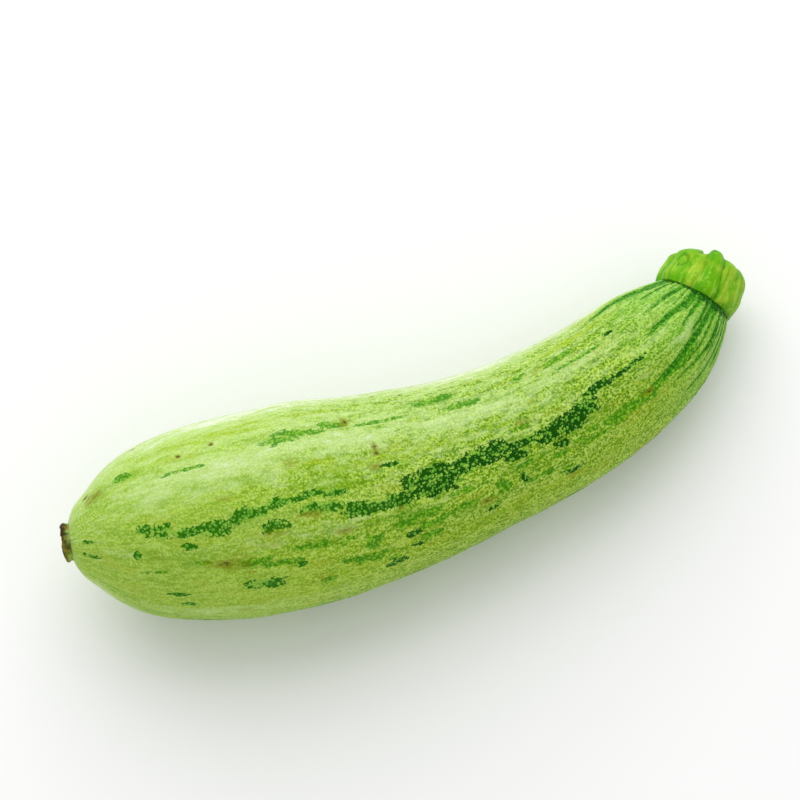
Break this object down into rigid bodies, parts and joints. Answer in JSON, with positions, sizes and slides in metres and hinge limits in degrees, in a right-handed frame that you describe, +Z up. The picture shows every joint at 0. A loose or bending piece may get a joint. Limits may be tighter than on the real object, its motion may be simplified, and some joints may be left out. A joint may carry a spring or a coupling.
{
  "type": "courgette",
  "caption": "Fresh striped light-green courgette, thick at the blossom end and bent toward its cut stalk stub, lying on its side.",
  "frame": {"origin": "on the surface that the courgette lies on, under the middle of its bounding box", "axes": "+Z up; +X along its length from the blossom end toward the stalk; it bends toward +Y"},
  "size_m": [0.168, 0.0972, 0.0497],
  "materials": {
    "fruit_skin": "waxy, satin",
    "stalk_flesh": "moist, fibrous"
  },
  "bodies": {
    "root": {"fruit": "fruit_skin", "stalk": "stalk_flesh"}
  },
  "joints": []
}
